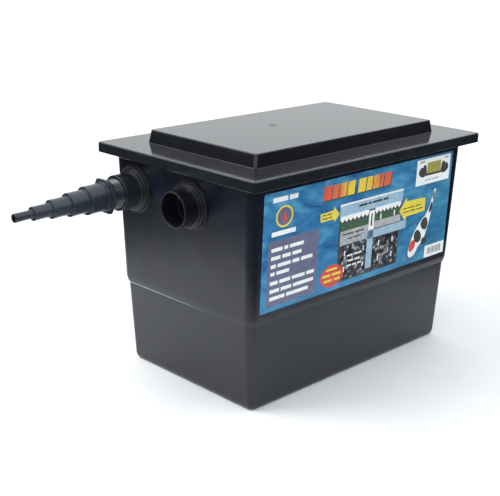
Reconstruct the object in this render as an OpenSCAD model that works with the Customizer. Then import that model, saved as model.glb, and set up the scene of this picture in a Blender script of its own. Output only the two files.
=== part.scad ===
// Flow-through pond filter box with a loose lid, two side ports and four layers of filter media.
// Frame: origin at the centre of the tank's underside, +Z up, +X along the long side,
// ports on the -X wall, label on the -Y wall. Millimetres.

/* [Lid] */
// Length of the lid over its skirt
lid_l = 600; // [592:2:610]
// Width of the lid over its skirt
lid_w = 398; // [392:2:404]
// Thickness of the lid moulding
lid_t = 4; // [3:0.5:5]
// Depth of the skirt that hangs over the rim, from the top of the flange
skirt_h = 18; // [14:1:24]
// Length of the raised panel at its top
panel_l = 465; // [440:5:480]
// Width of the raised panel at its top
panel_w = 265; // [240:5:280]
// Height of the raised panel above the flange
panel_h = 23; // [16:1:30]

/* [Tank] */
// Height of the tank from its underside to its rim
tank_h = 408; // [400:1:420]
// Wall thickness of the tank
wall = 4; // [3:0.5:4.5]
// Length of the tank at its base
base_l = 516; // [506:2:520]
// Width of the tank at its base
base_w = 315; // [305:1:318]
// Length of the tank just under the ledge
belly_l = 539; // [536:1:542]
// Width of the tank just under the ledge
belly_w = 328; // [326:1:331]
// Length of the tank at its rim, without the lip
mouth_l = 562; // [558:1:566]
// Width of the tank at its rim, without the lip
mouth_w = 350; // [346:1:354]
// Height of the lower edge of the ledge
ledge_z = 154.5; // [150:0.5:160]
// How far the ledge steps out on each side
ledge_out = 3.5; // [2:0.5:4]

/* [Ports] */
// Height of both port axes at the tank's middle, from where they fall towards the end wall
port_z = 347; // [343:1:350]
// Sideways place of the outlet
outlet_y = -27.5; // [-32:0.5:-24]
// Sideways place of the inlet
inlet_y = 119.5; // [112:0.5:120]
// Radius of the outlet spigot, for a 2 inch metric pipe coupling
spigot_r = 31.5; // [31.5:0.1:31.8]
// Radius of the hosetail's smallest step
tip_r = 7.7; // [7:0.1:9]
// Radius of the hosetail's largest step
root_r = 24.8; // [23:0.1:25]
// Length of each step of the hosetail
step_len = 34.3; // [33:0.1:36]

/* [Media] */
// Height of the perforated grid that carries the biological media
grid_z = 30; // [24:1:34]
// Thickness of both grids
grid_t = 8; // [6:1:8]
// Thickness of the grey foam
foam_t = 38; // [30:1:38]
// Thickness of the green matting
mat_t = 36; // [30:1:36]
// Thickness of the white wool
wool_t = 34; // [26:1:34]

/* [Pipes] */
// Outer radius of the inner pipes
pipe_r = 25; // [25:0.1:25.4]
// Outer radius of the spray bar
bar_r = 21.5; // [20:0.1:21.5]
// Number of spray holes in each of the two rows
jets = 18; // [8:1:20]

/* [Hidden] */
$fn = 64;

// Tank
ledge_h = 11;
corner_r = 16;
base_corner = 10;
foot_r = 12;
corner_min = 4;
floor_t = 5;
lip_l = mouth_l + 24;
lip_w = mouth_w + 28;
lip_t = 6;
slope_l = (mouth_l / 2 - belly_l / 2 - ledge_out) / (tank_h - ledge_z - ledge_h);
slope_w = (mouth_w / 2 - belly_w / 2 - ledge_out) / (tank_h - ledge_z - ledge_h);

// Both port axes are square to the end wall, which leans out by this angle
lean = atan(slope_l);

// Lid
under_lid = tank_h;
lid_z = under_lid + lid_t;
lid_corner = 6;
panel_corner = 5;
panel_draft = 4.5;
edge_r = 1.5;

// Ports, as distances out from the tank's middle along each port's axis
seat_x = 280.5;
seat_in = 270.5;
seat_r = 43;
gasket_x = seat_x + 2.5;
flange_x = gasket_x + 3.5;
collar_x = flange_x + 4.5;
spigot_x = 317.5;
barrel_r = 30;
barrel_in = 235;
gasket_r = 42.2;
flange_r = 39.2;
collar_r = 36;
socket_r = 31;
spigot_bore = 28.5;
inlet_r = 31.6;
inlet_x = 322;
thread_x = 302;
thread_r = 26.5;
thread_fit = 0.05;
hex_x0 = 343;
hex_x1 = 348;
hex_flats = 58;
hex_round = 33;
shoulder_x = 353.5;
shoulder_r = 26.5;
backnut_flats = 78;
backnut_t = 14;
bush_in = 222;

// Pipes
pipe_t = 2.5;
tee_r = pipe_r + 4;
tee_half = 40;
tee_stop = 27;
foot_notch = 18;
foot_gap = 0.5;
overflow_top = tank_h - 8;
bar_t = 2;
bar_fit = 0.05;
bar_x0 = -255;
bar_x1 = 250;
jet_r = 2.5;
jet_pitch = 25;
jet_angle = 30;
cap_r = 24;
cap_x0 = 232;
cap_x1 = 260;
cup_r = 28;
cup_x0 = 242;
cup_seat = 268;
cup_flange_r = 38;
cup_flange_t = 5;
cup_screw_y = 32.5;
screw_r = 2;

// Media
riser_gap = 1;
ledge_grid_z = ledge_z + ledge_h - 3;
media_gap = 0.5;
foam_z = ledge_grid_z + grid_t + media_gap;
mat_z = foam_z + foam_t + media_gap;
wool_z = mat_z + mat_t + media_gap;
grid_pitch = 40;
grid_hole = 32;
bag_inner = 40;
bag_outer = 248;
bag_w = 294;

// Half length and half width of the tank's outside at a height
function half_l(z) = z <= ledge_z
    ? base_l / 2 + (belly_l - base_l) / 2 * z / ledge_z
    : belly_l / 2 + ledge_out + slope_l * (z - ledge_z - ledge_h);
function half_w(z) = z <= ledge_z
    ? base_w / 2 + (belly_w - base_w) / 2 * z / ledge_z
    : belly_w / 2 + ledge_out + slope_w * (z - ledge_z - ledge_h);

// Points of a rounded rectangle at height g[3], from g = [length, width, corner radius, height]
corner_steps = 8;
function ring(g) = [
    for (q = [0:3]) for (i = [0:corner_steps])
        let (a = 90 * (q + i / corner_steps), sx = (q == 0 || q == 3) ? 1 : -1, sy = q < 2 ? 1 : -1)
        [sx * (g[0] / 2 - g[2]) + g[2] * cos(a), sy * (g[1] / 2 - g[2]) + g[2] * sin(a), g[3]]
];

// Solid through a list of rounded rectangles, lowest first
module loft(rings) {
    n = 4 * (corner_steps + 1);
    last = (len(rings) - 1) * n;
    points = [for (g = rings) each ring(g)];
    sides = [
        for (k = [0:len(rings) - 2]) for (i = [0:n - 1])
            let (a = k * n + i, b = k * n + (i + 1) % n)
            each [[a, a + n, b + n], [a, b + n, b]]
    ];
    bottom = [for (i = [0:n - 1]) i];
    top = [for (i = [n - 1:-1:0]) last + i];
    polyhedron(points, concat([bottom], sides, [top]));
}

// Rounded rectangle of even thickness, with true round corners
module plate(l, w, r, z, t) {
    translate([0, 0, z]) linear_extrude(t) {
        square([l - 2 * r, w], center = true);
        square([l, w - 2 * r], center = true);
        for (sx = [-1, 1], sy = [-1, 1]) translate([sx * (l / 2 - r), sy * (w / 2 - r)]) circle(r);
    }
}

// Puts local Z along a port's axis, out through the end wall at a sideways place
module port(y) {
    translate([0, y, port_z]) rotate([0, -90 - lean, 0]) children();
}

// Frame of the inner pipes: local -X along the outlet's axis, local Z up the riser
module pipework() {
    translate([0, outlet_y, port_z]) rotate([0, -lean, 0]) children();
}

// Place of the riser's axis along X at a height
function riser_x(z) = (port_z - z) * tan(lean);

// Hole that the riser passes through, with a little room
module riser_hole() {
    pipework() translate([0, 0, -port_z]) cylinder(h = port_z, r = pipe_r + riser_gap);
}

// Round tube between two distances along its axis
module tube(z0, z1, outer, inner) {
    difference() {
        translate([0, 0, z0]) cylinder(h = z1 - z0, r = outer);
        translate([0, 0, z0 - 1]) cylinder(h = z1 - z0 + 2, r = inner);
    }
}

// Corner radius of the tank's outside at a height
function corner(z) = base_corner + (corner_r - base_corner) * min(1, z / ledge_z);

// Level of the tank's skin at a height, moved inwards by an inset
function level(z, inset) = [
    2 * (half_l(z) - inset), 2 * (half_w(z) - inset), max(corner(z) - inset, corner_min), z
];

// Outer or inner skin of the tank, from z0 up to z1, with a rounded foot
module tank_skin(inset, z0, z1, foot) {
    foot_rings = [for (a = [0:22.5:67.5]) level(z0 + foot * (1 - cos(a)), inset + foot * (1 - sin(a)))];
    walls = [for (z = [z0 + foot, ledge_z, ledge_z + ledge_h, z1]) level(z, inset)];
    loft(concat(foot_rings, walls));
}

// Flat seats on both sides of the end wall for the port fittings
module port_seats() {
    for (y = [inlet_y, outlet_y])
        port(y) translate([0, 0, seat_in]) cylinder(h = seat_x - seat_in, r = seat_r);
}

module tank() {
    color([0.05, 0.05, 0.055]) difference() {
        union() {
            tank_skin(0, 0, tank_h, foot_r);
            plate(lip_l, lip_w, corner_r, tank_h - lip_t, lip_t);
            port_seats();
        }
        difference() {
            tank_skin(wall, floor_t, tank_h + 1, foot_r - wall);
            port_seats();
            port(inlet_y) translate([0, 0, -cup_seat - 14]) cylinder(h = 14, r = cup_flange_r + 1);
        }
        for (y = [inlet_y, outlet_y])
            port(y) translate([0, 0, seat_in - 1]) cylinder(h = 12, r = barrel_r + 0.4);
        port(inlet_y) for (s = [-1, 1]) translate([0, s * cup_screw_y, -cup_seat - 6.5])
            cylinder(h = 7.5, r = screw_r);
    }
}

label_l = 506;
label_h = 203;
label_z = 177;
label_t = 0.4;

module label() {
    color([0.15, 0.45, 0.7]) translate([-1, -half_w(label_z), label_z]) rotate([atan(slope_w), 0, 0])
        translate([-label_l / 2, -label_t, 0]) cube([label_l, label_t, label_h]);
}

// The part of a tank connector that both ports share: flange, collar and threaded barrel
module connector_body() {
    translate([0, 0, barrel_in]) cylinder(h = gasket_x - barrel_in, r = barrel_r);
    translate([0, 0, gasket_x]) cylinder(h = flange_x - gasket_x, r = flange_r);
    translate([0, 0, flange_x]) cylinder(h = collar_x - flange_x, r = collar_r);
}

module outlet_connector() {
    color([0.07, 0.07, 0.075]) port(outlet_y) difference() {
        connector_body();
        translate([0, 0, barrel_in - 1]) cylinder(h = collar_x - barrel_in, r = pipe_r);
        translate([0, 0, collar_x - 6.5]) cylinder(h = 8, r = socket_r);
    }
}

module inlet_connector() {
    color([0.07, 0.07, 0.075]) port(inlet_y) difference() {
        union() {
            connector_body();
            translate([0, 0, collar_x]) cylinder(h = inlet_x - bevel - collar_x, r = inlet_r);
            translate([0, 0, inlet_x - bevel]) cylinder(h = bevel, r1 = inlet_r, r2 = inlet_r - bevel);
        }
        translate([0, 0, barrel_in - 1]) cylinder(h = inlet_x - barrel_in + 2, r = 22);
        translate([0, 0, barrel_in - 1]) cylinder(h = 30, r = pipe_r);
        translate([0, 0, thread_x]) cylinder(h = inlet_x, r = thread_r + thread_fit);
    }
}

module port_gasket(y) {
    color([0.12, 0.12, 0.12]) port(y) tube(seat_x, gasket_x, gasket_r, barrel_r + 0.4);
}

module port_backnut(y) {
    color([0.07, 0.07, 0.075]) port(y) difference() {
        translate([0, 0, seat_in - backnut_t]) cylinder(h = backnut_t, r = backnut_flats / sqrt(3), $fn = 6);
        translate([0, 0, seat_in - backnut_t - 1]) cylinder(h = backnut_t + 2, r = barrel_r);
    }
}

module outlet_stub() {
    color([0.08, 0.08, 0.085]) port(outlet_y) difference() {
        union() {
            translate([0, 0, collar_x]) cylinder(h = spigot_x - collar_x, r = spigot_r);
            translate([0, 0, collar_x - 6.5]) cylinder(h = 6.5, r = socket_r);
        }
        translate([0, 0, collar_x - 8]) cylinder(h = spigot_x, r = spigot_bore);
    }
}

// Hosetail: step 0 is at the tip, and each step has a land at its front that grips the hose
steps = 5;
tip_x = 524;
tail_wall = 1.8;
bevel = 1;
land = 4;
relief = 0.3;
function step_r(i) = tip_r + (root_r - tip_r) * i / (steps - 1);
function step_front(i) = tip_x - step_len * i;

module hosetail() {
    color([0.16, 0.17, 0.18]) port(inlet_y) difference() {
        union() {
            translate([0, 0, thread_x + 1]) cylinder(h = hex_x0 - thread_x - 1, r = thread_r);
            intersection() {
                translate([0, 0, hex_x0]) rotate(30)
                    cylinder(h = hex_x1 - hex_x0, r = hex_flats / sqrt(3), $fn = 6);
                translate([0, 0, hex_x0]) cylinder(h = hex_x1 - hex_x0, r = hex_round);
            }
            translate([0, 0, hex_x1]) cylinder(h = shoulder_x - hex_x1, r = shoulder_r);
            for (i = [0:steps - 1]) {
                land_x = step_front(i) - bevel - land;
                back = i == steps - 1 ? shoulder_x : step_front(i + 1) - bevel;
                translate([0, 0, back]) cylinder(h = land_x - back, r = step_r(i) - relief);
                translate([0, 0, land_x]) cylinder(h = land, r = step_r(i));
                translate([0, 0, land_x + land]) cylinder(h = bevel, r1 = step_r(i), r2 = step_r(i) - bevel);
            }
        }
        for (i = [0:steps - 1]) {
            back = i == steps - 1 ? thread_x : step_front(i + 1) - tail_wall - 1;
            front = i == 0 ? tip_x + 1 : step_front(i) - tail_wall;
            translate([0, 0, back]) cylinder(h = front - back, r = step_r(i) - relief - tail_wall);
        }
    }
}

module inlet_bush() {
    color([0.1, 0.1, 0.11]) port(inlet_y) {
        tube(bush_in, barrel_in, pipe_r + 3, bar_r + bar_fit);
        tube(barrel_in, barrel_in + 24, pipe_r, bar_r + bar_fit);
    }
}

module spray_bar() {
    color([0.1, 0.1, 0.11]) port(inlet_y) difference() {
        tube(-bar_x1, -bar_x0, bar_r, bar_r - bar_t);
        for (k = [0:jets - 1], s = [-1, 1])
            translate([0, 0, (k - (jets - 1) / 2) * jet_pitch]) rotate([0, -90, s * jet_angle])
                translate([0, 0, 1]) cylinder(h = bar_r, r = jet_r, $fn = 24);
    }
}

module spray_bar_cap() {
    color([0.12, 0.12, 0.13]) port(inlet_y) difference() {
        translate([0, 0, -cap_x1]) cylinder(h = cap_x1 - cap_x0, r = cap_r);
        translate([0, 0, -bar_x1]) cylinder(h = bar_x1 - cap_x0 + 1, r = bar_r);
    }
}

module bar_end_cup() {
    color([0.1, 0.1, 0.11]) port(inlet_y) difference() {
        union() {
            translate([0, 0, -cup_seat]) cylinder(h = cup_seat - cup_x0, r = cup_r);
            translate([0, 0, -cup_seat]) cylinder(h = cup_flange_t, r = cup_flange_r);
        }
        translate([0, 0, -cap_x1 - 1]) cylinder(h = cap_x1 + 2 - cup_x0, r = cap_r + bar_fit);
        for (s = [-1, 1]) translate([0, s * cup_screw_y, -cup_seat - 1]) cylinder(h = 10, r = screw_r);
    }
}

module cup_screws() {
    color([0.75, 0.75, 0.77]) port(inlet_y) for (s = [-1, 1])
        translate([0, s * cup_screw_y, cup_flange_t - cup_seat]) difference() {
            union() {
                cylinder(h = 2.5, r = 4);
                translate([0, 0, -11]) cylinder(h = 11, r = screw_r);
            }
            for (a = [0, 90]) rotate(a) translate([-2.5, -0.5, 1]) cube([5, 1, 2]);
        }
}

module outlet_pipe() {
    color([0.35, 0.36, 0.38]) port(outlet_y) tube(tee_stop, 262, pipe_r, pipe_r - pipe_t);
}

module outlet_tee() {
    color([0.35, 0.36, 0.38]) pipework() difference() {
        union() {
            translate([0, 0, -tee_half]) cylinder(h = 2 * tee_half, r = tee_r);
            rotate([0, -90, 0]) cylinder(h = tee_half, r = tee_r);
        }
        translate([0, 0, -tee_half - 1]) cylinder(h = 2 * tee_half + 2, r = pipe_r - pipe_t);
        rotate([0, -90, 0]) cylinder(h = tee_half + 1, r = pipe_r - pipe_t);
        for (a = [0, -90, 180])
            rotate([0, a, 0]) translate([0, 0, tee_stop]) cylinder(h = tee_half, r = pipe_r);
    }
}

module riser_pipe() {
    foot = (port_z - floor_t - foot_gap - pipe_r * sin(lean)) / cos(lean);
    color([0.35, 0.36, 0.38]) pipework() difference() {
        tube(-foot, -tee_stop, pipe_r, pipe_r - pipe_t);
        for (a = [0, 90]) rotate(a) translate([-pipe_r - 1, -foot_notch / 2, -foot - 1])
            cube([2 * pipe_r + 2, foot_notch, foot_notch + 1]);
    }
}

module overflow_pipe() {
    color([0.9, 0.9, 0.88]) pipework() tube(tee_stop, overflow_top - port_z, pipe_r, pipe_r - pipe_t);
}

// Lattice plate with a round hole for the riser
module lattice(l, w, z) {
    nx = floor((l / 2 - 12) / grid_pitch);
    ny = floor((w / 2 - 12) / grid_pitch);
    difference() {
        plate(l, w, corner_r - wall, z, grid_t);
        for (i = [-nx:nx - 1], j = [-ny:ny - 1]) {
            x = (i + 0.5) * grid_pitch;
            y = (j + 0.5) * grid_pitch;
            if (norm([x - riser_x(z), y - outlet_y]) > pipe_r + 8 + grid_hole / 2)
                translate([x - grid_hole / 2, y - grid_hole / 2, z - 1])
                    cube([grid_hole, grid_hole, grid_t + 2]);
        }
        riser_hole();
    }
}

module support_grid() {
    color([0.2, 0.2, 0.21]) {
        lattice(2 * (half_l(grid_z) - wall) - 5, 2 * (half_w(grid_z) - wall) - 5, grid_z);
        for (x = [-200, -80, 80, 200], y = [-120, 0, 120])
            translate([x, y, floor_t]) cylinder(h = grid_z - floor_t, r = 6);
    }
}

module media_grid() {
    color([0.2, 0.2, 0.21])
        lattice(2 * (half_l(ledge_z) - wall) + 2, 2 * (half_w(ledge_z) - wall) + 2, ledge_grid_z);
}

// Two net bags of loose media, one on each side of the riser
module bio_media() {
    top = ledge_grid_z - 2;
    color([0.16, 0.16, 0.17]) for (s = [-1, 1])
        translate([s * (bag_inner + bag_outer) / 2, 0, 0])
            plate(bag_outer - bag_inner, bag_w, 24, grid_z + grid_t, top - grid_z - grid_t);
}

// One sheet of filter material that fills the tank at its height
module sheet_layer(z, t) {
    difference() {
        plate(2 * (half_l(z) - wall) - 2, 2 * (half_w(z) - wall) - 2, corner_r - wall, z, t);
        riser_hole();
    }
}

module foam_layer() {
    color([0.55, 0.56, 0.57]) sheet_layer(foam_z, foam_t);
}

module green_mat() {
    color([0.1, 0.42, 0.22]) sheet_layer(mat_z, mat_t);
}

module wool_layer() {
    color([0.93, 0.93, 0.9]) sheet_layer(wool_z, wool_t);
}

module lid() {
    foot = 2 * panel_draft;
    color([0.04, 0.04, 0.045]) difference() {
        union() {
            loft([
                [lid_l, lid_w, lid_corner, lid_z - skirt_h],
                [lid_l, lid_w, lid_corner, lid_z - edge_r],
                [lid_l - 2 * edge_r, lid_w - 2 * edge_r, lid_corner - edge_r, lid_z]
            ]);
            loft([
                [panel_l + foot, panel_w + foot, panel_corner + panel_draft, lid_z - 1],
                [panel_l + 2 * edge_r, panel_w + 2 * edge_r, panel_corner + edge_r, lid_z + panel_h - edge_r],
                [panel_l, panel_w, panel_corner, lid_z + panel_h]
            ]);
        }
        plate(lid_l - 2 * lid_t, lid_w - 2 * lid_t, lid_corner / 2, lid_z - skirt_h - 1, skirt_h - lid_t + 1);
        loft([
            [panel_l + foot - 2 * lid_t, panel_w + foot - 2 * lid_t, panel_corner, under_lid - 1],
            [panel_l - 2 * lid_t, panel_w - 2 * lid_t, panel_corner, lid_z + panel_h - lid_t]
        ]);
    }
}

tank();
label();
outlet_connector();
port_gasket(outlet_y);  // outlet_gasket
port_backnut(outlet_y);  // outlet_backnut
outlet_stub();
inlet_connector();
port_gasket(inlet_y);  // inlet_gasket
port_backnut(inlet_y);  // inlet_backnut
hosetail();
inlet_bush();
spray_bar();
spray_bar_cap();
bar_end_cup();
cup_screws();
outlet_pipe();
outlet_tee();
riser_pipe();
overflow_pipe();
support_grid();
bio_media();
media_grid();
foam_layer();
green_mat();
wool_layer();
lid();
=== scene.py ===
import math
import random

import bmesh
import bpy
from mathutils import Matrix, Vector, noise


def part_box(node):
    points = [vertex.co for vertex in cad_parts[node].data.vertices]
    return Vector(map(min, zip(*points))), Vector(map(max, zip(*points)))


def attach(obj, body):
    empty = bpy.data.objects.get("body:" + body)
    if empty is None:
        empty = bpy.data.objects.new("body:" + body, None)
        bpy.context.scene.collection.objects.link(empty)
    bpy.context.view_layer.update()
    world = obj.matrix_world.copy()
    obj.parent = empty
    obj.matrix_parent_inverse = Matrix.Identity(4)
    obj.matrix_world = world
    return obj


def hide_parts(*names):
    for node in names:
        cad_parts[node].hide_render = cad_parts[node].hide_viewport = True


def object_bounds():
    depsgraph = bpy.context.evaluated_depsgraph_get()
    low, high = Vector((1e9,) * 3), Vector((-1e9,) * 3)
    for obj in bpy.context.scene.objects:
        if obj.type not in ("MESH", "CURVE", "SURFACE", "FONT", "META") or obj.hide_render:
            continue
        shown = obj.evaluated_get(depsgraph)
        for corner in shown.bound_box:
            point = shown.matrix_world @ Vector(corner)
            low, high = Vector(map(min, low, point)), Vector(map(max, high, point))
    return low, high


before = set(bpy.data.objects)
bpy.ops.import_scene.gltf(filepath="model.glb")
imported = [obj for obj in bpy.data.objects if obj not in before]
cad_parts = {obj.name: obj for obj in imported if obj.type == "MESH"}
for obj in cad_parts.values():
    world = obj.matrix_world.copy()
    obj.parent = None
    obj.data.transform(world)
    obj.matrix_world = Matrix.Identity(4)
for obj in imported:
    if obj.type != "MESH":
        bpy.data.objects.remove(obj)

CAD_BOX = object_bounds()
MM = 0.001
PORT_Z = 347
OUTLET_Y = -27.5
INLET_Y = 119.5
WALL_LEAN = math.atan(8 / 242.5)
LABEL_LEAN = math.atan(7.5 / 242.5)
SHARP_ANGLE = math.radians(32)


def place(x, y, z, turn_y=0.0, turn_x=0.0):
    """Frame at a place in millimetres, turned about Y or X, whose own units are millimetres."""
    turn = Matrix.Rotation(turn_y, 4, "Y") @ Matrix.Rotation(turn_x, 4, "X")
    return Matrix.Translation((x * MM, y * MM, z * MM)) @ turn @ Matrix.Scale(MM, 4)


def port(y):
    """Frame of a port: Z out along its axis, square to the leaning end wall, and X up."""
    return place(0, y, PORT_Z, -math.pi / 2 - WALL_LEAN)


PIPEWORK = place(0, OUTLET_Y, PORT_Z, -WALL_LEAN)


# ---------------------------------------------------------------- mesh helpers

def soften(points, radii):
    """Rounds the inner vertices of an open line of equal-length tuples, each by its own radius."""
    steps = 5
    out = [tuple(points[0])]
    for i in range(1, len(points) - 1):
        corner = points[i]
        if radii[i] <= 0:
            out.append(tuple(corner))
            continue
        ends = []
        for other in (points[i - 1], points[i + 1]):
            reach = min(radii[i] / max(math.dist(corner, other), 1e-9), 0.49)
            ends.append([c + (o - c) * reach for c, o in zip(corner, other)])
        for k in range(steps + 1):
            t = k / steps
            out.append(tuple(
                a * (1 - t) ** 2 + c * 2 * t * (1 - t) + b * t * t for a, c, b in zip(ends[0], corner, ends[1])
            ))
    out.append(tuple(points[-1]))
    return out


def ring(half_l, half_w, radius, z):
    """Points of a rounded rectangle at one height."""
    steps = 10
    out = []
    for q, (sx, sy) in enumerate([(1, 1), (-1, 1), (-1, -1), (1, -1)]):
        for i in range(steps + 1):
            a = math.radians(90 * (q + i / steps))
            out.append((
                sx * (half_l - radius) + radius * math.cos(a), sy * (half_w - radius) + radius * math.sin(a), z
            ))
    return out


def skin(rings, closed=False):
    """Vertices and faces through rings of equally many points. Open skins get a cap at each end."""
    n = len(rings[0])
    verts = [p for r in rings for p in r]
    faces = []
    for k in range(len(rings) if closed else len(rings) - 1):
        a, b = k * n, ((k + 1) % len(rings)) * n
        faces += [(a + i, a + (i + 1) % n, b + (i + 1) % n, b + i) for i in range(n)]
    if not closed:
        last = (len(rings) - 1) * n
        faces += [tuple(range(n)), tuple(last + i for i in reversed(range(n)))]
    return verts, faces


def shell(points, radii):
    """Closed skin through (half length, half width, corner radius, height) levels in millimetres."""
    levels = soften(points, radii)
    return skin([[(x * MM, y * MM, z * MM) for x, y, z in ring(*level)] for level in levels])


def lathe(profile, base, closed=True, segments=96, shape=None):
    """Turns (along, radius) points in millimetres round the Z axis of a frame. shape may vary the radius."""
    rings = []
    for along, radius in profile:
        row = []
        for i in range(segments):
            a = 2 * math.pi * i / segments
            r = shape(a, along, radius) if shape else radius
            row.append(tuple(base @ Vector((r * math.cos(a), r * math.sin(a), along))))
        rings.append(row)
    return skin(rings, closed)


def new_object(name, geometry):
    """Object in the scene from (vertices, faces), with its faces turned outwards."""
    mesh = bpy.data.meshes.new(name)
    mesh.from_pydata(geometry[0], [], geometry[1])
    bm = bmesh.new()
    bm.from_mesh(mesh)
    bmesh.ops.recalc_face_normals(bm, faces=bm.faces)
    bm.to_mesh(mesh)
    bm.free()
    obj = bpy.data.objects.new(name, mesh)
    bpy.context.scene.collection.objects.link(obj)
    return obj


def piece(name, geometry, material, body, replaces=()):
    """Smooth-shaded object from (vertices, faces) that rides on a body and may replace CAD nodes."""
    obj = new_object(name, geometry)
    mesh = obj.data
    mesh.polygons.foreach_set("use_smooth", [True] * len(mesh.polygons))
    mesh.set_sharp_from_angle(angle=SHARP_ANGLE)
    mesh.materials.append(material)
    even_normals(obj)
    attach(obj, body)
    if replaces:
        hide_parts(*replaces)
    return obj


def even_normals(obj):
    """Keeps large flat faces flat in their shading, next to narrow rounded edges."""
    obj.modifiers.new("normals", "WEIGHTED_NORMAL").keep_sharp = True
    apply_modifiers(obj)


def subtract(obj, geometry):
    """Cuts a closed (vertices, faces) solid out of an object."""
    cutter = new_object("cutter", geometry)
    cut = obj.modifiers.new("cut", "BOOLEAN")
    cut.object = cutter
    cut.operation = "DIFFERENCE"
    cut.solver = "EXACT"
    apply_modifiers(obj)
    bpy.data.objects.remove(cutter)


def apply_modifiers(obj):
    """Replaces a mesh by its evaluated result."""
    graph = bpy.context.evaluated_depsgraph_get()
    mesh = bpy.data.meshes.new_from_object(obj.evaluated_get(graph))
    obj.modifiers.clear()
    obj.data = mesh


# ---------------------------------------------------------------- materials

def srgb(r, g, b):
    """Colour from 0 to 255 as linear RGBA."""
    def channel(v):
        v /= 255
        return v / 12.92 if v <= 0.04045 else ((v + 0.055) / 1.055) ** 2.4
    return (channel(r), channel(g), channel(b), 1.0)


class Shader:
    """A node material with a few short ways to add nodes."""

    def __init__(self, name):
        self.material = bpy.data.materials.new(name)
        self.material.use_nodes = True
        self.tree = self.material.node_tree
        self.bsdf = self.tree.nodes["Principled BSDF"]
        self.coords = self.tree.nodes.new("ShaderNodeTexCoord").outputs["Object"]

    def add(self, kind, inputs=None, **settings):
        node = self.tree.nodes.new(kind)
        for key, value in settings.items():
            setattr(node, key, value)
        for key, value in (inputs or {}).items():
            self.put(node.inputs[key], value)
        return node

    def put(self, socket, value):
        if isinstance(value, bpy.types.NodeSocket):
            self.tree.links.new(value, socket)
        else:
            socket.default_value = value

    def stretched(self, scale, turn=(0, 0, 0)):
        node = self.add("ShaderNodeMapping", {"Vector": self.coords, "Scale": scale, "Rotation": turn})
        return node.outputs["Vector"]

    def noise(self, scale, detail=4.0, rough=0.55, distortion=0.0, vector=None):
        node = self.add("ShaderNodeTexNoise", {
            "Vector": vector or self.coords, "Scale": scale, "Detail": detail, "Roughness": rough,
            "Distortion": distortion
        })
        return node.outputs["Fac"]

    def voronoi(self, scale, feature="F1", output="Distance"):
        node = self.add("ShaderNodeTexVoronoi", {"Vector": self.coords, "Scale": scale}, feature=feature)
        return node.outputs[output]

    def ramp(self, factor, stops):
        node = self.add("ShaderNodeValToRGB", {"Fac": factor})
        elements = node.color_ramp.elements
        while len(elements) < len(stops):
            elements.new(0.5)
        for element, (position, colour) in zip(elements, stops):
            element.position = position
            element.color = colour
        return node.outputs["Color"]

    def span(self, value, low, high, to_low=0.0, to_high=1.0):
        node = self.add("ShaderNodeMapRange", {
            "Value": value, "From Min": low, "From Max": high, "To Min": to_low, "To Max": to_high
        })
        return node.outputs["Result"]

    def math(self, operation, a, b):
        return self.add("ShaderNodeMath", {0: a, 1: b}, operation=operation).outputs["Value"]

    def mix(self, factor, a, b):
        node = self.add("ShaderNodeMix", {"Factor": factor}, data_type="RGBA")
        self.put(node.inputs[6], a)
        self.put(node.inputs[7], b)
        return node.outputs[2]

    def bump(self, height, distance, strength=1.0, normal=None):
        inputs = {"Height": height, "Distance": distance, "Strength": strength}
        if normal is not None:
            inputs["Normal"] = normal
        return self.add("ShaderNodeBump", inputs).outputs["Normal"]

    def finish(self, colour, rough, normal=None, **fixed):
        self.put(self.bsdf.inputs["Base Color"], colour)
        self.put(self.bsdf.inputs["Roughness"], rough)
        if normal is not None:
            self.put(self.bsdf.inputs["Normal"], normal)
        for key, value in fixed.items():
            self.bsdf.inputs[key.replace("_", " ")].default_value = value
        return self.material


# Heights of the ledge's foot and top, in millimetres.
LEDGE = (154.5, 165.5)
# Colour of the painted highlight line along the ledge's edge.
LEDGE_HIGHLIGHT = srgb(158, 160, 164)


def painted_ledge_highlight(s):
    """Painted highlight along the ledge's edge on the port wall: full at its far corner, gone before the label.
    """
    edge = LEDGE[0] * MM
    axes = s.add("ShaderNodeSeparateXYZ", {"Vector": s.coords})
    x, y, z = (axes.outputs[name] for name in "XYZ")
    foot, crest = s.span(z, edge - 0.0012, edge - 0.0004), s.span(z, edge + 0.0013, edge + 0.0021, 1.0, 0.0)
    line = s.math("MULTIPLY", foot, crest)
    reach = s.math("MULTIPLY", s.span(y, -0.085, 0.09), s.span(x, -0.2665, -0.262, 1.0, 0.0))
    return s.math("MULTIPLY", s.math("MULTIPLY", line, reach), s.span(s.noise(50), 0.3, 0.6, 0.75, 1.0))


def plastic(name, dark, light, rough, grain=0.00004, wave=0.0, streak=0.0, painted_highlight=None):
    """Moulded plastic: cloudy colour, uneven gloss, fine grain, slow waves and flow streaks in the wall, and
    where asked a painted highlight.
    """
    s = Shader(name)
    cloud = s.noise(11, 6, 0.6)
    if streak:
        flow = s.noise(1, 5, 0.6, vector=s.stretched((46, 46, 2.2)))
        cloud = s.math("ADD", s.math("MULTIPLY", cloud, 1 - streak), s.math("MULTIPLY", flow, streak))
    colour = s.ramp(cloud, [(0.34, dark), (0.66, light)])
    # Painted highlight: a pale line mixed into the colour where its mask asks.
    if painted_highlight:
        colour = s.mix(painted_highlight(s), colour, LEDGE_HIGHLIGHT)
    scuff = s.noise(70, 8, 0.7, 0.4)
    uneven = s.math("ADD", s.math("MULTIPLY", cloud, 0.6), s.math("MULTIPLY", scuff, 0.4))
    gloss = s.span(uneven, 0.35, 0.65, *rough)
    normal = s.bump(s.noise(2600, 3, 0.6), grain, 0.7)
    if wave:
        normal = s.bump(s.noise(7, 2, 0.5), wave, 1.0, normal)
    return s.finish(colour, gloss, normal, IOR=1.54)


def rubber(name):
    """Matt black rubber with a faint grain."""
    s = Shader(name)
    colour = s.ramp(s.noise(60, 6, 0.7), [(0.3, srgb(20, 20, 22)), (0.75, srgb(38, 38, 40))])
    return s.finish(colour, s.span(s.noise(140), 0.3, 0.7, 0.62, 0.82), s.bump(s.noise(900), 0.00008))


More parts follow.
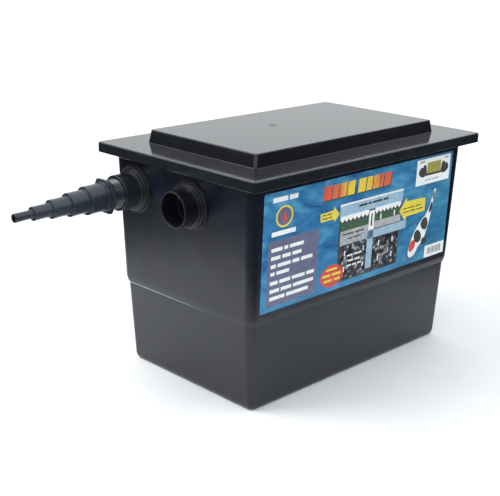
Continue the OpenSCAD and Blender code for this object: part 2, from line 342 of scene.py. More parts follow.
def steel(name):
    """Brushed stainless steel."""
    s = Shader(name)
    brushed = s.noise(900, 4, 0.7, vector=s.stretched((1, 6, 1)))
    colour = s.ramp(brushed, [(0.3, srgb(168, 170, 173)), (0.7, srgb(206, 208, 210))])
    return s.finish(colour, s.span(brushed, 0.3, 0.7, 0.22, 0.38), s.bump(brushed, 0.00002), Metallic=1.0)


def open_foam(name):
    """Grey reticulated foam: pale struts, with painted shade making the pores between them dark."""
    s = Shader(name)
    cells = s.voronoi(520)
    pores = s.span(cells, 0.1, 0.62)
    tone = s.ramp(s.noise(9, 5), [(0.3, srgb(128, 130, 133)), (0.7, srgb(152, 154, 156))])
    # Painted shade: the pores are coloured dark, as if shadowed deep in the foam.
    colour = s.mix(pores, srgb(40, 41, 43), tone)
    return s.finish(colour, 0.95, s.bump(pores, 0.0012, 0.9))


def fibre(name, dark, light, scale, depth):
    """Random fibre mat: crossing stretched noises, like matted strands, with painted shade low between them."""
    s = Shader(name)
    strands = None
    for k, turn in enumerate((0.2, 1.1, 1.9, 2.7)):
        layer = s.noise(1, 3, 0.6, 0.3, s.stretched((scale, scale * 0.09, scale * 0.5), (0.3 * k, 0.2, turn)))
        strands = layer if strands is None else s.math("MAXIMUM", strands, layer)
    clump = s.noise(26, 5, 0.6)
    height = s.math("ADD", s.math("MULTIPLY", strands, 0.75), s.math("MULTIPLY", clump, 0.25))
    # Painted shade: the colour follows the height, darker where the mat lies low between strands; the clumps
    # also vary its tone at random.
    colour = s.ramp(height, [(0.42, dark), (0.68, light)])
    return s.finish(colour, 0.92, s.bump(height, depth, 0.9), Sheen_Weight=0.25, Sheen_Roughness=0.6)


def net(name):
    """Black knotted net stretched over ribbed plastic media, whose lumps carry painted light and shade."""
    s = Shader(name)
    lumps = s.voronoi(55, "SMOOTH_F1")
    cords = []
    for slant in (0.78, -0.78):
        wave = s.add("ShaderNodeTexWave", {"Vector": s.stretched((1, 1, 1), (0, 0, slant)), "Scale": 38.0})
        cords.append(wave.outputs["Fac"])
    cord = s.math("MAXIMUM", *cords)
    height = s.math("ADD", s.math("MULTIPLY", lumps, -0.7), s.math("MULTIPLY", cord, 0.3))
    # Painted light and shade: the media is lighter on the middles of its lumps and dark in the gaps between
    # them.
    media = s.ramp(lumps, [(0.1, srgb(92, 94, 98)), (0.7, srgb(24, 25, 27))])
    colour = s.mix(s.span(cord, 0.8, 0.95), media, srgb(14, 14, 15))
    return s.finish(colour, 0.6, s.bump(height, 0.006))


# The tank's plastic carries the painted highlight line along the ledge of the port wall.
TANK = plastic("tank_plastic", srgb(5, 10, 22), srgb(13, 19, 34), (0.25, 0.35), 0.000015, wave=0.0013,
               streak=0.45, painted_highlight=painted_ledge_highlight)
LID = plastic("lid_plastic", srgb(23, 25, 29), srgb(29, 31, 35), (0.06, 0.12), 0.00002, wave=0.00015)
FITTING = plastic("fitting_plastic", srgb(22, 25, 31), srgb(36, 40, 47), (0.26, 0.38))
HOSETAIL = plastic("hosetail_plastic", srgb(27, 34, 44), srgb(46, 54, 65), (0.22, 0.34), 0.00006)
PIPE_BLACK = plastic("pipe_black", srgb(10, 11, 15), srgb(20, 21, 26), (0.26, 0.40), streak=0.3)
PIPE_GREY = plastic("pipe_grey", srgb(92, 96, 101), srgb(112, 116, 121), (0.26, 0.40))
PIPE_WHITE = plastic("pipe_white", srgb(214, 214, 208), srgb(230, 230, 226), (0.28, 0.42))
GRID = plastic("grid_plastic", srgb(26, 26, 28), srgb(40, 40, 43), (0.42, 0.58))
RUBBER = rubber("gasket_rubber")
STEEL = steel("stainless_steel")
FOAM = open_foam("grey_foam")
MATTING = fibre("green_matting", srgb(8, 58, 34), srgb(52, 132, 84), 300, 0.004)
WOOL = fibre("white_wool", srgb(188, 190, 186), srgb(246, 246, 242), 620, 0.0022)
NET = net("media_net")


# ---------------------------------------------------------------- camera and light

CAMERA_PLACE = (-1.3356, -1.2399, 0.7793)
CAMERA_TURN, CAMERA_DOWN, CAMERA_ROLL = (math.radians(angle) for angle in (44.62, 17.75, 0.93))
CAMERA_LENS = 72.5
SKY_POWER = 1.55
SKY_TINT = (0.955, 0.985, 1.0, 1)
SKY_STEPS = ((0.0, 0.55), (0.2, 0.74), (0.36, 0.84), (1.0, 0.76))
KEY_POWER = 46
BOARD_HEIGHT = 0.5
BOARD_PATH = (
    (1.1, -0.1), (0.42, -0.42), (-0.2, -0.56), (-0.62, -0.45), (-0.85, 0.05), (-0.76, 0.5), (-0.15, 1.1)
)
FLOOR_REACH = 30.0


def place_camera():
    """Three-quarter view from the -X, -Y side, a little above the lid."""
    turn, down, roll = CAMERA_TURN, CAMERA_DOWN, CAMERA_ROLL
    ahead = Vector((math.sin(turn) * math.cos(down), math.cos(turn) * math.cos(down), -math.sin(down)))
    right = Vector((math.cos(turn), -math.sin(turn), 0))
    up = right.cross(ahead)
    right, up = right * math.cos(roll) + up * math.sin(roll), up * math.cos(roll) - right * math.sin(roll)
    data = bpy.data.cameras.new("camera")
    data.lens = CAMERA_LENS
    data.clip_end = 60
    camera = bpy.data.objects.new("camera", data)
    basis = Matrix((right, up, -ahead)).transposed()
    camera.matrix_world = Matrix.Translation(CAMERA_PLACE) @ basis.to_4x4()
    bpy.context.scene.collection.objects.link(camera)
    bpy.context.scene.camera = camera


def softbox(name, spot, target, size, power):
    """Rectangular area light at a spot, aimed at a target."""
    light = bpy.data.lights.new(name, "AREA")
    light.shape = "RECTANGLE"
    light.size, light.size_y = size
    light.energy = power
    obj = bpy.data.objects.new(name, light)
    obj.location = spot
    obj.rotation_euler = (Vector(target) - Vector(spot)).to_track_quat("-Z", "Y").to_euler()
    bpy.context.scene.collection.objects.link(obj)


def sky():
    """Studio brightness by height: dim at the horizon, strongest a little above it, softer overhead."""
    world = bpy.data.worlds.new("studio")
    bpy.context.scene.world = world
    world.use_nodes = True
    tree = world.node_tree
    coords = tree.nodes.new("ShaderNodeTexCoord")
    axes = tree.nodes.new("ShaderNodeSeparateXYZ")
    tree.links.new(coords.outputs["Generated"], axes.inputs[0])
    level = tree.nodes.new("ShaderNodeValToRGB")
    steps = level.color_ramp.elements
    for height, _ in SKY_STEPS[1:-1]:
        steps.new(height)
    for step, (height, grey) in zip(steps, SKY_STEPS):
        step.position = height
        step.color = (grey, grey, grey, 1)
    tree.links.new(axes.outputs["Z"], level.inputs[0])
    power = tree.nodes.new("ShaderNodeMath")
    power.operation = "MULTIPLY"
    power.inputs[1].default_value = SKY_POWER
    tree.links.new(level.outputs["Color"], power.inputs[0])
    tree.links.new(power.outputs[0], tree.nodes["Background"].inputs["Strength"])
    tree.nodes["Background"].inputs["Color"].default_value = SKY_TINT


def staged(name, verts, faces, material):
    """Mesh that belongs to the studio and not to the object."""
    mesh = bpy.data.meshes.new(name)
    mesh.from_pydata(verts, [], faces)
    mesh.materials.append(material)
    obj = bpy.data.objects.new(name, mesh)
    bpy.context.scene.collection.objects.link(obj)
    return obj


def dark_boards():
    """Studio boards round the object, above the bright floor, that show in its gloss and nowhere else."""
    n = len(BOARD_PATH)
    verts = [(x, y, z) for z in (0, BOARD_HEIGHT) for x, y in BOARD_PATH]
    faces = [(i, i + 1, n + i + 1, n + i) for i in range(n - 1)]
    s = Shader("board_black")
    s.finish(s.ramp(s.noise(20), [(0.3, srgb(30, 31, 34)), (0.7, srgb(40, 41, 45))]), 0.9)
    boards = staged("dark_boards", verts, faces, s.material)
    boards.visible_camera = boards.visible_diffuse = boards.visible_shadow = boards.visible_transmission = False


def light_studio():
    """Sky, dark boards, one key light and a pale paper floor."""
    sky()
    dark_boards()
    softbox("key", (-1.7, 1.3, 2.6), (0, 0, 0.2), (1.6, 1.6), KEY_POWER)
    s = Shader("floor_paper")
    tone = s.ramp(s.noise(3, 4), [(0.3, srgb(244, 245, 247)), (0.7, srgb(249, 250, 251))])
    s.finish(tone, 0.75, s.bump(s.noise(500), 0.00003))
    level = CAD_BOX[0][2] - 0.0002
    corners = [(x * FLOOR_REACH, y * FLOOR_REACH, level) for x, y in ((-1, -1), (1, -1), (1, 1), (-1, 1))]
    staged("floor", corners, [(0, 1, 2, 3)], s.material)
    view = bpy.context.scene.view_settings
    view.view_transform = "Standard"
    view.look = "None"


place_camera()
light_studio()


# ---------------------------------------------------------------- tank and lid

WALL = 4
TANK_TOP = 408
# Half length and half width of the outside at the foot, under the ledge, over it, at the mouth and at the lip.
FOOT, BELLY, SHOULDER, MOUTH = (258, 157.5), (269.5, 164), (273, 167.5), (281, 175)
LIP = (293, 189)
LIP_T = 6
SEAT_OUT, SEAT_IN, SEAT_R = 280.5, 270.5, 43
BARREL_R = 30


def build_tank():
    """Tapered box from the middle of its inner floor, up inside, over the lip and down outside to its foot."""
    inner = [(FOOT[0] - 5 - WALL, FOOT[1] - 5 - WALL, 8, 5)]
    inner += [(a - WALL, b - WALL, 12, z) for (a, b), z in
              ((BELLY, LEDGE[0] + 1), (SHOULDER, LEDGE[1] + 1), (MOUTH, TANK_TOP))]
    outer = [
        (*LIP, 16, TANK_TOP), (*LIP, 16, TANK_TOP - LIP_T),
        (MOUTH[0] - 0.2, MOUTH[1] - 0.2, 16, TANK_TOP - LIP_T), (*SHOULDER, 16, LEDGE[1]),
        (BELLY[0] + 1.6, BELLY[1] + 1.6, 16, LEDGE[0] + 1.8), (*BELLY, 16, LEDGE[0]),
        (*FOOT, 10, 0), (FOOT[0] - 30, FOOT[1] - 30, 6, 0)
    ]
    points = [(60, 40, 5, 5)] + inner + outer
    radii = [0, 10, 3, 3, 1.2, 2.4, 2.4, 4, 3, 0.6, 0.4, 12, 0]
    tank = piece("tank_shell", shell(points, radii), TANK, "filter_box", ["tank"])
    inside, outside, bore = 200, 320, BARREL_R + 0.4
    for y in (INLET_Y, OUTLET_Y):
        hole = [(inside, 0.01), (inside, bore), (outside, bore), (outside, 0.01)]
        subtract(tank, lathe(hole, port(y), False))
    tank.data.set_sharp_from_angle(angle=SHARP_ANGLE)
    even_normals(tank)


def build_seats():
    """Flat seats that the end wall's ports are screwed against, and the one for the bar's far cup."""
    for name, y in (("inlet_seat", INLET_Y), ("outlet_seat", OUTLET_Y)):
        bore = BARREL_R + 0.5
        profile = [(SEAT_IN, bore), (SEAT_IN, SEAT_R), (SEAT_OUT, SEAT_R), (SEAT_OUT, bore)]
        piece(name, lathe(soften(profile, [0, 1, 1.2, 0]), port(y)), TANK, "filter_box")
    profile = soften([(-276, 2), (-276, 39), (-268, 39), (-268, 2)], [0, 0, 1, 0])
    piece("cup_seat", lathe(profile, port(INLET_Y)), TANK, "filter_box")


def build_lid():
    """Lid from the middle of its hollow underside, out to the skirt, over it and up to the panel's top."""
    lo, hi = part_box("lid")
    half_l, half_w = (hi.x - lo.x) / 2 / MM, (hi.y - lo.y) / 2 / MM
    top, bottom = hi.z / MM, lo.z / MM
    flange, thick, draft = 412, 4, 4.5
    panel = (232.5, 132.5)
    points = [
        (40, 30, 4, top - thick), (panel[0] - thick, panel[1] - thick, 8, top - thick),
        (panel[0] + draft - thick, panel[1] + draft - thick, 9, flange - thick),
        (half_l - thick, half_w - thick, 4, flange - thick), (half_l - thick, half_w - thick, 4, bottom),
        (half_l, half_w, 6, bottom), (half_l, half_w, 6, flange),
        (panel[0] + draft, panel[1] + draft, 8, flange), (*panel, 5, top), (40, 30, 4, top)
    ]
    radii = [0, 3, 2, 2, 0.8, 1.4, 3.4, 0.9, 2, 0]
    piece("lid_shell", shell(points, radii), LID, "lid", ["lid"])
    rim = [(0.1, -0.4), (5.2, -0.4), (5.6, 0.15), (6.6, 0.5), (7.6, 0.15), (8, -0.4), (8.1, -1), (0.1, -1)]
    gate = [(top + rise, r) for r, rise in rim]
    piece("lid_gate", lathe(gate, place(-38, 22, 0)), LID, "lid")


build_tank()
build_seats()
build_lid()


# ---------------------------------------------------------------- ports

def turned(name, y, points, radii, material, body="filter_box", shape=None):
    """Turned piece on a port's axis, from a softened closed profile, in place of the CAD node of its name."""
    profile = soften(points + [points[0]], radii + [0])[:-1]
    piece(name + "_body", lathe(profile, port(y), shape=shape), material, body, [name])


def hexagon(flats, corner, turn=0.0):
    """Cross-section for lathe: a hexagon with rounded corners, wherever the radius is over half its flats."""
    def shape(a, along, radius):
        if radius < flats / 2 - 0.01:
            return radius
        side = (a + turn + math.pi / 6) % (math.pi / 3) - math.pi / 6
        return min(radius, flats / 2 / math.cos(side), corner)
    return shape


GASKET, FLANGE, COLLAR = 283, 286.5, 291
PORTS = {"outlet": OUTLET_Y, "inlet": INLET_Y}

for label, y in PORTS.items():
    turned(label + "_gasket", y, [(SEAT_OUT, 30.4), (SEAT_OUT, 42.2), (GASKET, 42.2), (GASKET, 30.4)],
           [0, 0.8, 0.8, 0], RUBBER)
    turned(label + "_backnut", y, [
        (256.5, 30), (256.5, 40), (259, 45), (268.5, 45), (270.5, 41), (270.5, 30)
    ], [0, 0.5, 1, 1, 0.5, 0], FITTING, shape=hexagon(78, 44.5, math.pi / 6))

turned("outlet_connector", OUTLET_Y, [
    (235, 25), (235, 30), (GASKET, 30), (GASKET, 39.2), (FLANGE, 39.2), (FLANGE, 36),
    (COLLAR, 36), (COLLAR, 31), (284.5, 31), (284.5, 25)
], [0, 1, 0, 0.5, 1.1, 0.8, 1.3, 0.5, 0, 0], FITTING)
turned("outlet_stub", OUTLET_Y, [
    (284.5, 28.5), (284.5, 31), (COLLAR, 31), (COLLAR, 31.5), (317.5, 31.5), (317.5, 28.5)
], [0, 0, 0, 0, 0.9, 0.9], PIPE_BLACK)
turned("inlet_connector", INLET_Y, [
    (235, 25), (235, 30), (GASKET, 30), (GASKET, 39.2), (FLANGE, 39.2), (FLANGE, 36),
    (COLLAR, 36), (COLLAR, 31.6), (322, 31.6), (322, 26.6), (302, 26.6), (302, 22), (264, 22), (264, 25)
], [0, 1, 0, 0.5, 1.1, 0.8, 1.3, 0.8, 1.6, 0.9, 0, 0, 0, 0], FITTING)


def build_hosetail():
    """Screw thread, hexagonal collar, shoulder and five stepped barrels with a land at each front."""
    steps, tip, step_len, tip_r, root_r = 5, 524, 34.3, 7.7, 24.8
    pitch, depth, thread_r, back_end = 3.8, 1.9, 26.5, 303
    hex_back, hex_front, hex_flats, hex_r = 343, 348, 58, 33
    outside = [(back_end, thread_r - 2)] + [(back_end + 1 + 0.38 * k, thread_r) for k in range(102)]
    out_radii = [0] * len(outside)
    outside += [(hex_back, 25), (hex_back, hex_r), (hex_front, hex_r), (hex_front, 26.5), (353.5, 26.5)]
    outside.append((353.5, root_r - 0.3))
    out_radii += [0, 0.8, 0.8, 0.3, 0.9, 0.3]
    inside, in_radii = [], []
    for i in reversed(range(steps)):
        r = tip_r + (root_r - tip_r) * i / (steps - 1)
        front = tip - step_len * i
        outside += [(front - 13, r - 0.3), (front - 5, r), (front, r)]
        out_radii += [3, 2, 1.1]
        if i:
            outside.append((front, r - 4.5))
            out_radii.append(0.6)
    for i in range(steps):
        r = tip_r + (root_r - tip_r) * i / (steps - 1) - 2.1
        front = tip - step_len * i - (1.8 if i else 0)
        back = back_end if i == steps - 1 else tip - step_len * (i + 1) - 1.8
        inside += [(front, r), (back, r)]
        in_radii += [0.5, 0.3]

    def shape(a, along, radius):
        if radius == thread_r and along < hex_back - 0.3:
            turn = (along / pitch - a / (2 * math.pi)) % 1
            fade = min(1, (along - back_end - 0.9) / 3)
            return radius - depth * fade * (1 - abs(2 * turn - 1))
        return collar(a, along, radius) if hex_back - 0.1 < along < hex_front + 0.1 else radius

    collar = hexagon(hex_flats, hex_r)
    turned("hosetail", INLET_Y, outside + inside, out_radii + in_radii, HOSETAIL,
           "hosetail", shape)


build_hosetail()


# ---------------------------------------------------------------- label

LABEL_L, LABEL_H = 506, 203
LABEL = place(-1, -167.856, 177, turn_x=LABEL_LEAN) @ Matrix.Translation((-LABEL_L / 2, -0.4, 0))


def ink(name, *tones, scale=60, across=None):
    """Printed colour under a satin varnish, clouded between its tones like a fine screen. With across, the
    tones run along the label between two places."""
    s = Shader(name)
    if across:
        axes = s.add("ShaderNodeSeparateXYZ", {"Vector": s.coords})
        along = s.span(axes.outputs["X"], *across)
        factor = s.math("ADD", along, s.span(s.noise(scale, 5), 0.3, 0.7, -0.05, 0.05))
        stops = [(i / (len(tones) - 1), srgb(*tone)) for i, tone in enumerate(tones)]
    else:
        factor = s.noise(scale, 5, 0.65)
        stops = [(0.3 + 0.4 * i / (len(tones) - 1), srgb(*tone)) for i, tone in enumerate(tones)]
    colour = s.mix(s.span(s.voronoi(1400), 0.0, 0.6, 0.0, 0.06), s.ramp(factor, stops), srgb(255, 255, 255))
    return s.finish(colour, *varnish(s))


def varnish(s):
    """Roughness and normal of the printed sheet's clear satin face."""
    return s.span(s.noise(40), 0.3, 0.7, 0.24, 0.36), s.bump(s.noise(30, 3), 0.00015)


def water():
    """Printed pond water: stretched ripples over slow patches, paler low down and greener at the far end."""
    s = Shader("label_water")
    swirl = s.noise(5, 3, 0.5, 1.5, s.stretched((1.0, 1, 1.6)))
    ripple = s.noise(15, 6, 0.62, 1.1, s.stretched((1.0, 1, 2.6), (0, 0.25, 0)))
    colour = s.ramp(s.math("ADD", s.math("MULTIPLY", swirl, 0.45), s.math("MULTIPLY", ripple, 0.55)), [
        (0.33, srgb(12, 58, 98)), (0.43, srgb(26, 92, 142)),
        (0.52, srgb(44, 118, 164)), (0.66, srgb(84, 156, 190))
    ])
    axes = s.add("ShaderNodeSeparateXYZ", {"Vector": s.coords})
    low = s.span(axes.outputs["Z"], 0.177, 0.26, 0.3, 0.0)
    colour = s.mix(low, colour, srgb(70, 150, 190))
    right = s.span(axes.outputs["X"], 0.05, 0.3, 0.0, 0.35)
    colour = s.mix(right, colour, srgb(60, 128, 140))
    return s.finish(colour, *varnish(s))


def media_print():
    """Printed picture of loose ribbed media: pale chips on a dark ground."""
    s = Shader("print_media")
    chips = s.voronoi(150, output="Color")
    grey = s.add("ShaderNodeSeparateColor", {"Color": chips}).outputs["Red"]
    edges = s.span(s.voronoi(150), 0.15, 0.75)
    tone = s.ramp(grey, [(0.2, srgb(40, 42, 48)), (0.55, srgb(92, 94, 98)), (0.9, srgb(176, 178, 182))])
    return s.finish(s.mix(edges, tone, srgb(30, 32, 38)), *varnish(s))


def rect(u0, v0, u1, v1, lean=0.0):
    """Corners of a rectangle in label millimetres; lean slants its top."""
    return [(u0, v0), (u1, v0), (u1 + lean, v1), (u0 + lean, v1)]


def oval(u, v, half_u, half_v):
    """Outline of an ellipse in label millimetres."""
    steps = 40
    angles = [2 * math.pi * i / steps for i in range(steps)]
    return [(u + half_u * math.cos(a), v + half_v * math.sin(a)) for a in angles]


def words(u, v, lengths, height=7.0, gap=4.0):
    """Plain bars in a row that stand in for a line of printed words."""
    out = []
    for length in lengths:
        out.append(rect(u, v - height / 2, u + length, v + height / 2))
        u += length + gap
    return out


def printed(name, material, level, shapes):
    """Flat shapes of one ink, stacked in thin levels over the label's sheet."""
    verts, faces = [], []
    for shape in shapes:
        base = len(verts)
        verts += [tuple(LABEL @ Vector((u, -0.03 * level, v))) for u, v in shape]
        faces.append(tuple(range(base, base + len(shape))))
    piece("print_" + name, (verts, faces), material, "filter_box")


def smooth_outline(points):
    """Closed outline with its corners cut three times over, for drawn shapes."""
    for _ in range(3):
        out = []
        for (x0, y0), (x1, y1) in zip(points, points[1:] + points[:1]):
            out += [(x0 * t + x1 * (1 - t), y0 * t + y1 * (1 - t)) for t in (0.75, 0.25)]
        points = out
    return points


def build_label():
    """Printed sheet on the long wall: bars for words, plain blocks, a cutaway of the layers and a fish."""
    outline = [(x + LABEL_L / 2, y + LABEL_H / 2) for x, y, z in ring(LABEL_L / 2, LABEL_H / 2, 2.5, 0)]
    layers = [[tuple(LABEL @ Vector((u, depth, v))) for u, v in outline] for depth in (0.0, 0.4)]
    piece("label_sheet", skin(layers), water(), "filter_box", ["label"])

    white = ink("print_white", (214, 218, 220), (232, 234, 234))
    black = ink("print_black", (8, 10, 14), (20, 22, 28))
    yellow = ink("print_yellow", (204, 184, 6), (226, 208, 16))
    red = ink("print_red", (178, 26, 16), (208, 52, 28))
    mauve = ink("print_mauve", (70, 76, 108), (88, 94, 126))
    pale = ink("print_pale_blue", (120, 158, 182), (152, 184, 202))
    grey = ink("print_grey", (134, 138, 142), (172, 176, 178), scale=160)
    green = ink("print_green", (4, 44, 22), (28, 92, 46), scale=260)
    olive = ink("print_olive", (120, 120, 24), (158, 154, 40), scale=200)

    printed("panel", mauve, 1, [rect(13.5, 8, 134, 122)])
    lines = [
        (106, (26, 9, 33)), (92, (22, 20, 22)), (78, (12, 31, 17, 28)), (65, (10, 30)), (49, (18, 26, 31, 19)),
        (35, (22, 25, 50)), (22, (36, 53))
    ]
    text = [bar for v, lengths in lines for bar in words(21, v, lengths, 6.2)]
    text += words(20, 190, (34, 20), 8) + words(20, 133, (56,), 8)
    printed("white_words", white, 2, text)

    printed("badge", yellow, 2, [oval(48, 160, 20, 18.5)])
    printed("badge_ring", mauve, 3, [oval(48, 160, 16.5, 15.2)])
    drop = [(48 + 0.55 * t * math.cos(a), 157 + t * math.sin(a)) for a, t in
            [(math.radians(90 + 15 * i), 13 if i == 0 else 8.5) for i in range(24)]]
    printed("badge_drop", red, 4, [drop])

    blocks, u = [], 139.0
    for widths, gap in (((20, 16, 18, 19), 6.5), ((20, 16, 18, 7, 19), 0)):
        for width in widths:
            blocks.append(rect(u, 167.5, u + width, 192, 2.5))
            u += width + 2.6
        u += gap
    printed("headline_shadow", black, 2, [[(x + 1.7, y - 1.9) for x, y in shape] for shape in blocks])
    flame = ink("print_flame", (200, 44, 14), (214, 96, 10), (222, 196, 10), (222, 190, 10), (214, 88, 12),
                (196, 40, 14), across=((139 - LABEL_L / 2) * MM, (333 - LABEL_L / 2) * MM))
    printed("headline", flame, 3, blocks)

    left = [(135, 146), (168, 147.5), (169.5, 154), (184, 138), (172, 126), (171, 131.5), (136.5, 131)]
    right = [(353, 111), (372, 134), (374, 126.5), (430, 124.5), (431.5, 98), (375, 97), (372.5, 89)]
    printed("arrows", yellow, 4, [left, right])
    left_lines = words(141, 142, (9, 13), 1.8, 2) + words(141, 136, (13, 10), 1.8, 2)
    right_lines = words(364, 113, (12, 20, 16), 2, 3) + words(366, 106, (18, 14, 20), 2, 3)
    printed("arrow_lines", black, 5, left_lines + right_lines)

    printed("cut_box", black, 2, [rect(186.5, 11, 356, 153.5)])
    printed("cut_bar", pale, 3, [rect(186, 131, 360, 151.5), rect(191, 77, 268, 79)])
    printed("cut_bar_top", white, 4, [rect(186, 150, 360, 153.4)])
    inside_words = words(196, 97, (30, 24), 2.6, 3) + words(211, 88, (12, 20), 2.4, 3)
    printed("cut_words", black, 4, words(236, 143, (22, 9, 27, 14), 4, 3) + inside_words)
    teeth = []
    for u0, u1 in ((188, 265), (282, 356)):
        count = round((u1 - u0) / 11)
        for i in range(count):
            a, b = u0 + (u1 - u0) * i / count, u0 + (u1 - u0) * (i + 1) / count
            teeth.append([(a, 131), (a, 125), ((a + b) / 2, 119.5), (b, 125), (b, 131)])
    printed("cut_wool", white, 3, teeth)
    printed("cut_green", green, 3, [rect(189, 104, 266, 119), rect(282, 106, 355, 120)])
    printed("cut_grey", grey, 3, [rect(190, 79, 268, 104), rect(282, 92.5, 357, 106)])
    printed("cut_pipe", pale, 4, [rect(262, 75.5, 376, 91), rect(264.5, 20, 281, 90)])
    printed("cut_standpipe", white, 5, [rect(266, 92, 281, 128)])
    printed("cut_standpipe_words", black, 6, [rect(271.5, 99, 275.5, 122)])
    printed("cut_media", media_print(), 3, [rect(193, 13, 264.5, 78), rect(281, 13, 354, 74)])
    marks = [rect(u - 1.6, v - 5, u + 1.6, v + 5) for u in (299, 338) for v in (62, 33, 112)]
    marks += [rect(u - 1.4, v - 4.5, u + 1.4, v + 4.5) for u in (205, 256) for v in (62, 32)]
    for u, v, lengths in ((212, 56, (15, 22)), (216, 46, (14, 14)), (213, 37, (12, 10, 11))):
        marks += words(u, v, lengths, 3, 3)
    printed("cut_marks", white, 5, marks)

    printed("seal", red, 4, [oval(174, 28, 30, 20.5)])
    seal_words = words(158, 40, (30,), 4) + words(150, 30, (20, 24), 4.4) + words(154, 20, (22, 16), 4.4)
    printed("seal_words", yellow, 5, seal_words)

    printed("card", white, 2, [rect(395.5, 150, 499, 199)])
    printed("card_edge", olive, 3, [rect(427, 170, 470, 191)])
    card_middle = 448.5
    body = [
        (402, 176), (408, 184), (414, 183), (417, 188), (424, 187),
        (427, 170), (419, 164), (410, 166), (404, 170)
    ]
    ends = [body, [(2 * card_middle - u, v) for u, v in body]]
    printed("card_ends", black, 3, ends + [rect(424, 166, 473, 170)])
    dots = [oval(412, 194, 8, 2), oval(486, 194, 8, 2)]
    printed("card_words", grey, 3, words(424, 158, (18, 22), 2.4, 3) + dots)

    fish = [
        (464, 139), (455, 135), (446, 103), (437, 89), (424, 82), (405, 62), (396, 46), (389, 24), (393, 13),
        (401, 11), (411, 15), (421, 29), (438, 42), (444, 62), (450.5, 79), (454, 107)
    ]
    shadow = ink("print_shadow", (38, 74, 104), (52, 96, 132))
    printed("fish_shadow", shadow, 2, [smooth_outline([(x - 4, y - 4) for x, y in fish])])
    printed("fish", white, 3, [smooth_outline(fish)])
    patches = [
        [(403, 58), (416, 66), (430, 50), (424, 36), (408, 40)],
        [(420, 76), (437, 88), (447, 72), (441, 58), (428, 62)],
        [(444, 96), (452, 116), (456, 104), (449, 88)],
        [(452, 122), (457, 134), (460, 128), (456, 114)],
        [(430, 45), (444, 44), (448, 34), (436, 28), (429, 34)]
    ]
    printed("fish_patches", black, 4, [smooth_outline(p) for p in patches])
    head = [(391, 30), (396, 44), (408, 46), (413, 36), (406, 24), (395, 22)]
    printed("fish_head", red, 4, [smooth_outline(head)])

    printed("code_card", white, 2, [rect(443.5, 0.8, 505, 25)])
    maker, u, bars = random.Random(7), 452.0, []
    while u < 496:
        width = maker.choice((0.7, 1.0, 1.6))
        bars.append(rect(u, 6.5, u + width, 20))
        u += width + maker.choice((0.8, 1.2, 1.8))
    printed("code_bars", black, 3, bars)


build_label()

# CAD nodes that keep their own meshes.
for node, material in {
    "inlet_bush": FITTING, "spray_bar": PIPE_BLACK, "bar_end_cup": FITTING,
    "cup_screws": STEEL, "outlet_pipe": PIPE_GREY, "outlet_tee": PIPE_GREY, "riser_pipe": PIPE_GREY,
    "support_grid": GRID, "media_grid": GRID, "spray_bar_cap": FITTING, "overflow_pipe": PIPE_WHITE,
}.items():
    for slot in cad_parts[node].material_slots:
        slot.material = material


# ---------------------------------------------------------------- filter media

VOXEL = 0.006
SWELL_PRESSURE = 4
SWELL_FRAMES = 20
SOFT_INSET = 4
RISER_HOLE = 27.5
LUMP_SCALE = 42
BOX_MARGIN = 0.0003


def even_mesh(obj):
    """Even quads over a piece, so that it can swell like padding."""
    remesh = obj.modifiers.new("remesh", "REMESH")
    remesh.mode = "VOXEL"
    remesh.voxel_size = VOXEL
    apply_modifiers(obj)


def swell(obj, cap):
    """Cloth blown up from inside without gravity, and no point further than cap from its start."""
    start = [v.co.copy() for v in obj.data.vertices]
    cloth = obj.modifiers.new("cloth", "CLOTH")
    cloth.settings.use_pressure = True
    cloth.settings.uniform_pressure_force = SWELL_PRESSURE
    cloth.settings.effector_weights.gravity = 0
    cloth.settings.tension_stiffness = cloth.settings.compression_stiffness = 15
    cloth.settings.quality = 4
    for frame_number in range(1, SWELL_FRAMES + 1):
        bpy.context.scene.frame_set(frame_number)
    apply_modifiers(obj)
    bpy.context.scene.frame_set(1)
    for v, old in zip(obj.data.vertices, start):
        moved = v.co - old
        if moved.length > cap:
            v.co = old + moved * (cap / moved.length)


def ruffle(obj, box, amount, scale, lumps=0.0):
    """Uneven surface along each point's normal, held inside the CAD solid's box."""
    lo, hi = box
    normals = [v.normal.copy() for v in obj.data.vertices]
    for v, normal in zip(obj.data.vertices, normals):
        push = noise.fractal(v.co * scale, 0.8, 2.0, 4) * amount
        if lumps:
            near, _ = noise.voronoi(v.co * LUMP_SCALE)
            push -= lumps * min(near[0], 0.8)
        co = v.co + normal * push
        v.co = [min(max(c, l + BOX_MARGIN), h - BOX_MARGIN) for c, l, h in zip(co, lo, hi)]


def smooth_subdivide(obj):
    """One round of subdivision, shaded smooth."""
    obj.modifiers.new("smooth", "SUBSURF").levels = 1
    apply_modifiers(obj)
    obj.data.polygons.foreach_set("use_smooth", [True] * len(obj.data.polygons))


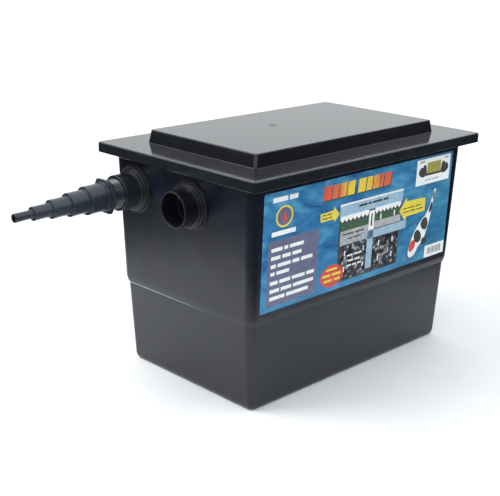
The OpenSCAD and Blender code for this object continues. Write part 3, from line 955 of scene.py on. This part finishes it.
def sheet_pad(name, node, material, amount, scale):
    """Sheet of filter material, a little proud in the middle, with soft worn edges and the riser's hole."""
    lo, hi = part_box(node)
    half_l, half_w = (hi.x - lo.x) / 2 / MM - SOFT_INSET, (hi.y - lo.y) / 2 / MM - SOFT_INSET
    low, high = lo.z / MM + 1.5, hi.z / MM - 1.5
    points = [(60, 50, 10, low), (half_l, half_w, 12, low), (half_l, half_w, 12, high), (60, 50, 10, high)]
    pad = piece(name, shell(points, [0, 6, 6, 0]), material, "filter_box", [node])
    subtract(pad, lathe([(-200, 0.01), (-200, RISER_HOLE), (0, RISER_HOLE), (0, 0.01)], PIPEWORK, False, 48))
    even_mesh(pad)
    swell(pad, 0.004)
    ruffle(pad, (lo, hi), amount, scale)
    smooth_subdivide(pad)


def net_bag(name, side):
    """Net bag full of loose media: a slack form that bulges over its lumps and draws in at the top."""
    lo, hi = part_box("bio_media")
    inner, outer = 40, hi.x / MM
    centre, half_l, half_w = side * (inner + outer) / 2, (outer - inner) / 2, hi.y / MM
    low, high = lo.z / MM, hi.z / MM
    levels = soften([
        (40, 60, 20, low + 2), (half_l - 14, half_w - 14, 26, low + 2),
        (half_l - 5, half_w - 5, 30, (low + high) / 2), (half_l - 16, half_w - 18, 28, high - 8),
        (50, 80, 20, high - 2)
    ], [0, 12, 30, 14, 0])
    rings = [[((centre + x) * MM, y * MM, z * MM) for x, y, z in ring(*level)] for level in levels]
    bag = piece(name, skin(rings), NET, "filter_box", ["bio_media"])
    even_mesh(bag)
    swell(bag, 0.008)
    near, far = sorted((side * inner * MM, side * outer * MM))
    smooth_subdivide(bag)
    ruffle(bag, (Vector((near, lo.y, lo.z)), Vector((far, hi.y, hi.z))), 0.003, 30, 0.007)


sheet_pad("foam_sheet", "foam_layer", FOAM, 0.0006, 40)
sheet_pad("green_matting_sheet", "green_mat", MATTING, 0.0016, 70)
sheet_pad("wool_sheet", "wool_layer", WOOL, 0.0028, 26)
net_bag("media_bag_far", 1)
net_bag("media_bag_near", -1)
